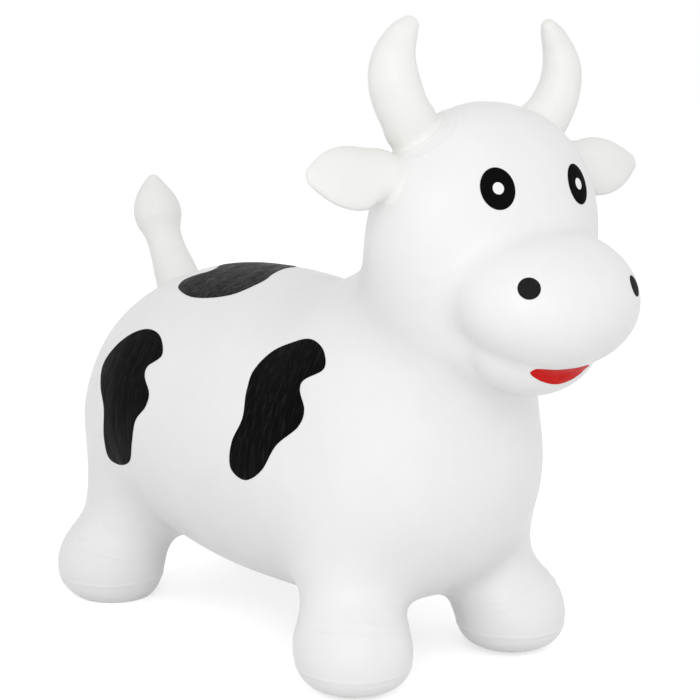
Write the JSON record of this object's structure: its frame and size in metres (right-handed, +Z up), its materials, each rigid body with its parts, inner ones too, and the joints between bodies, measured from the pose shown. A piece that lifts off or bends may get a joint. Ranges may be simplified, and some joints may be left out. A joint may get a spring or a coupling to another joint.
{
  "type": "bouncy ride on animal",
  "caption": "Inflatable ride on hopper in the shape of a plain cow: a hollow vinyl body on four soft feet, with horns to hold, ears, a tail and an air plug.",
  "frame": {"origin": "on the ground, midway between the front of the muzzle and the back of the tail, in the middle plane", "axes": "+Z up, -Y the way the animal faces, +X to the animal's left"},
  "size_m": [0.345, 0.6181, 0.5342],
  "materials": {
    "vinyl_white": "satin",
    "vinyl_ivory": "satin",
    "valve_collar": "satin",
    "plug_white": "gloss",
    "ink_black": "satin",
    "ink_white": "satin",
    "ink_red": "satin"
  },
  "bodies": {
    "skin": {"torso_skin": "vinyl_white", "head_skin": "vinyl_white", "leg_front_left": "vinyl_white", "leg_front_right": "vinyl_white", "leg_rear_left": "vinyl_white", "leg_rear_right": "vinyl_white", "valve_seat": "valve_collar", "eye_left": "ink_black", "eye_right": "ink_black", "eye_dot_left": "ink_white", "eye_dot_right": "ink_white", "nostril_left": "ink_black", "nostril_right": "ink_black", "mouth": "ink_red", "spot_flank_front_left": "ink_black", "spot_flank_front_right": "ink_black", "spot_flank_rear_left": "ink_black", "spot_flank_rear_right": "ink_black", "spot_top": "ink_black"},
    "foot_front_left": {"foot_front_left": "vinyl_white"},
    "foot_front_right": {"foot_front_right": "vinyl_white"},
    "foot_rear_left": {"foot_rear_left": "vinyl_white"},
    "foot_rear_right": {"foot_rear_right": "vinyl_white"},
    "horn_left": {"horn_left": "vinyl_ivory"},
    "horn_right": {"horn_right": "vinyl_ivory"},
    "ear_left": {"ear_left": "vinyl_ivory"},
    "ear_right": {"ear_right": "vinyl_ivory"},
    "tail": {"tail": "vinyl_ivory"},
    "valve_plug": {"valve_plug": "plug_white"}
  },
  "joints": [
    {"name": "foot_front_left_press", "type": "slide", "parent": "skin", "child": "foot_front_left", "axis": [0, 0, 1], "range_m": [0, 0.015], "stiffness_N_per_m": 2400, "springref_m": -0.004, "deforming": ["leg_front_left"]},
    {"name": "foot_front_right_press", "type": "slide", "parent": "skin", "child": "foot_front_right", "axis": [0, 0, 1], "range_m": [0, 0.015], "stiffness_N_per_m": 2400, "springref_m": -0.004, "deforming": ["leg_front_right"]},
    {"name": "foot_rear_left_press", "type": "slide", "parent": "skin", "child": "foot_rear_left", "axis": [0, 0, 1], "range_m": [0, 0.015], "stiffness_N_per_m": 2400, "springref_m": -0.004, "deforming": ["leg_rear_left"]},
    {"name": "foot_rear_right_press", "type": "slide", "parent": "skin", "child": "foot_rear_right", "axis": [0, 0, 1], "range_m": [0, 0.015], "stiffness_N_per_m": 2400, "springref_m": -0.004, "deforming": ["leg_rear_right"]},
    {"name": "horn_left_flex", "type": "hinge", "parent": "skin", "child": "horn_left", "pos_m": [0.065, -0.1701, 0.4461], "axis": [1, 0, 0], "range_deg": [-8, 8], "stiffness_Nm_per_rad": 6},
    {"name": "horn_right_flex", "type": "hinge", "parent": "skin", "child": "horn_right", "pos_m": [-0.065, -0.1701, 0.4461], "axis": [1, 0, 0], "range_deg": [-8, 8], "stiffness_Nm_per_rad": 6},
    {"name": "ear_left_flap", "type": "hinge", "parent": "skin", "child": "ear_left", "pos_m": [0.0958, -0.174, 0.4097], "axis": [0, 0, 1], "range_deg": [-20, 20], "stiffness_Nm_per_rad": 0.6},
    {"name": "ear_right_flap", "type": "hinge", "parent": "skin", "child": "ear_right", "pos_m": [-0.0958, -0.174, 0.4097], "axis": [0, 0, 1], "range_deg": [-20, 20], "stiffness_Nm_per_rad": 0.6},
    {"name": "tail_flex", "type": "hinge", "parent": "skin", "child": "tail", "pos_m": [0, 0.2445, 0.2795], "axis": [1, 0, 0], "range_deg": [-15, 15], "stiffness_Nm_per_rad": 2},
    {"name": "plug_pull", "type": "slide", "parent": "skin", "child": "valve_plug", "axis": [0, 0, -1], "range_m": [0, 0.02]}
  ]
}
